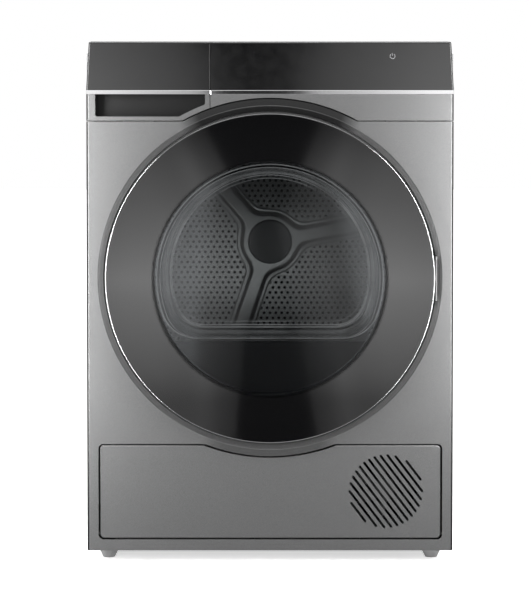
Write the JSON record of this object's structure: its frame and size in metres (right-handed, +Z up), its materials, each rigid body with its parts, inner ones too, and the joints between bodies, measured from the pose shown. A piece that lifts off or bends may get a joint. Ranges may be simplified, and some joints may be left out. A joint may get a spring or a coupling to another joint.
{
  "type": "clothes dryer",
  "caption": "Front-loading heat-pump clothes dryer with a round tinted door, a water drawer in the control band, a plinth flap with a slotted vent and a belt-driven drum.",
  "frame": {"origin": "on the floor, under the middle of the machine's outer box", "axes": "+Z up, the door faces -Y, +X to the right of someone standing in front"},
  "size_m": [0.595, 0.64, 0.85],
  "materials": {
    "front_sheet": "metallic grey paint, satin",
    "cabinet_sheet": "metallic grey paint, satin",
    "band_plastic": "metallic grey, satin",
    "black_glass": "black, high gloss",
    "bright_trim": "polished",
    "top_board": "fine-grained laminate",
    "galvanised": "zinc-coated sheet",
    "dark_moulding": "black, fine grain",
    "grey_moulding": "grey, fine grain",
    "lifter_moulding": "light grey, satin",
    "board": "green laminate",
    "tinted_glass": "tinted, polished",
    "clear_glass": "clear, polished",
    "seal_rubber": "matt",
    "tyre_rubber": "matt",
    "belt_rubber": "matt",
    "felt": "wool felt",
    "drum_steel": "bright rolled",
    "plain_steel": "zinc-plated",
    "fins": "bare",
    "copper_pipe": "bare copper",
    "pot_paint": "black stove enamel",
    "tank_plastic": "translucent white"
  },
  "bodies": {
    "cabinet": {"base_tray": "dark_moulding", "side_panel_left": "cabinet_sheet", "side_panel_right": "cabinet_sheet", "rear_panel": "galvanised", "rear_duct_cover": "galvanised", "worktop": "top_board", "front_panel": "front_sheet", "control_fascia": "band_plastic", "control_glass": "black_glass", "trim_strip": "bright_trim", "control_board": "board", "bearing_shield": "dark_moulding", "drum_felts": "felt", "rear_bearing": "plain_steel", "lint_filter": "grey_moulding", "hinge_bracket": "pot_paint", "door_lock": "dark_moulding", "drive_belt": "belt_rubber", "motor_housing": "pot_paint", "blower_housing": "dark_moulding", "exchanger_housing": "dark_moulding", "evaporator": "fins", "condenser": "fins", "compressor": "pot_paint", "refrigerant_pipes": "copper_pipe", "service_cover": "dark_moulding", "fan_frame": "dark_moulding", "drain_pump": "dark_moulding", "tank_chute": "dark_moulding", "cord_inlet": "dark_moulding", "panel_screws": "plain_steel", "rear_feet": "grey_moulding"},
    "door": {"door_frame": "dark_moulding", "door_trim_ring": "bright_trim", "door_glass": "tinted_glass", "door_liner": "dark_moulding", "door_bowl": "clear_glass", "door_seal": "seal_rubber", "door_hinge_leaf": "pot_paint", "door_strike": "plain_steel"},
    "water_drawer": {"container_front": "band_plastic", "container_glass": "black_glass", "container_trim": "bright_trim", "water_tank": "tank_plastic"},
    "drum": {"drum_shell": "drum_steel", "drum_back": "drum_steel", "drum_lifters": "lifter_moulding", "hub_cover": "grey_moulding", "drum_shaft": "plain_steel"},
    "flap": {"flap": "band_plastic"},
    "cover_lever": {"cover_lever": "grey_moulding"},
    "roller_left": {"roller_left": "tyre_rubber"},
    "roller_right": {"roller_right": "tyre_rubber"},
    "motor_rotor": {"motor_rotor": "plain_steel", "blower_wheel": "dark_moulding"},
    "idler_arm": {"idler_arm": "plain_steel"},
    "idler_pulley": {"idler_pulley": "plain_steel"},
    "fan_rotor": {"fan_rotor": "dark_moulding"},
    "foot_left": {"foot_left": "grey_moulding"},
    "foot_right": {"foot_right": "grey_moulding"}
  },
  "joints": [
    {"name": "container_slide", "type": "slide", "parent": "cabinet", "child": "water_drawer", "axis": [0, -1, 0], "range_m": [0, 0.4]},
    {"name": "cover_lever_turn", "type": "hinge", "parent": "cabinet", "child": "cover_lever", "pos_m": [-0.138, -0.262, 0.121], "axis": [0, 1, 0], "range_deg": [0, 90]},
    {"name": "door_hinge", "type": "hinge", "parent": "cabinet", "child": "door", "pos_m": [0.2675, -0.291, 0.466], "axis": [0, 0, 1], "range_deg": [0, 150]},
    {"name": "drum_spin", "type": "hinge", "parent": "cabinet", "child": "drum", "pos_m": [0, 0, 0.505], "axis": [0, 1, 0], "continuous": true},
    {"name": "flap_hinge", "type": "hinge", "parent": "cabinet", "child": "flap", "pos_m": [0.0005, -0.274, 0.049], "axis": [1, 0, 0], "range_deg": [0, 80]},
    {"name": "idler_arm_swing", "type": "hinge", "parent": "cabinet", "child": "idler_arm", "pos_m": [0.105, 0.067, 0.078], "axis": [0, -1, 0], "range_deg": [0, 10], "stiffness_Nm_per_rad": 5, "springref_deg": -11.46},
    {"name": "idler_spin", "type": "hinge", "parent": "idler_arm", "child": "idler_pulley", "pos_m": [0.142, 0.054, 0.15], "axis": [0, 1, 0], "continuous": true},
    {"name": "levelling_foot_left_turn", "type": "hinge", "parent": "cabinet", "child": "foot_left", "pos_m": [-0.267, -0.22, 0.02], "axis": [0, 0, 1], "continuous": true},
    {"name": "levelling_foot_right_turn", "type": "hinge", "parent": "cabinet", "child": "foot_right", "pos_m": [0.267, -0.22, 0.02], "axis": [0, 0, 1], "continuous": true},
    {"name": "motor_spin", "type": "hinge", "parent": "cabinet", "child": "motor_rotor", "pos_m": [0.06, 0.15, 0.12], "axis": [0, 1, 0], "continuous": true},
    {"name": "roller_left_spin", "type": "hinge", "parent": "cabinet", "child": "roller_left", "pos_m": [-0.18987, -0.199, 0.26198], "axis": [0, 1, 0], "continuous": true},
    {"name": "roller_right_spin", "type": "hinge", "parent": "cabinet", "child": "roller_right", "pos_m": [0.18987, -0.199, 0.26198], "axis": [0, 1, 0], "continuous": true},
    {"name": "vent_fan_spin", "type": "hinge", "parent": "cabinet", "child": "fan_rotor", "pos_m": [0.1885, -0.238, 0.1188], "axis": [0, 1, 0], "continuous": true}
  ],
  "couplings": [
    {"joint": "motor_spin", "follows": "drum_spin", "ratio": 23.583},
    {"joint": "roller_left_spin", "follows": "drum_spin", "ratio": -11.32},
    {"joint": "roller_right_spin", "follows": "drum_spin", "ratio": -11.32},
    {"joint": "idler_spin", "follows": "drum_spin", "ratio": 15.722}
  ]
}
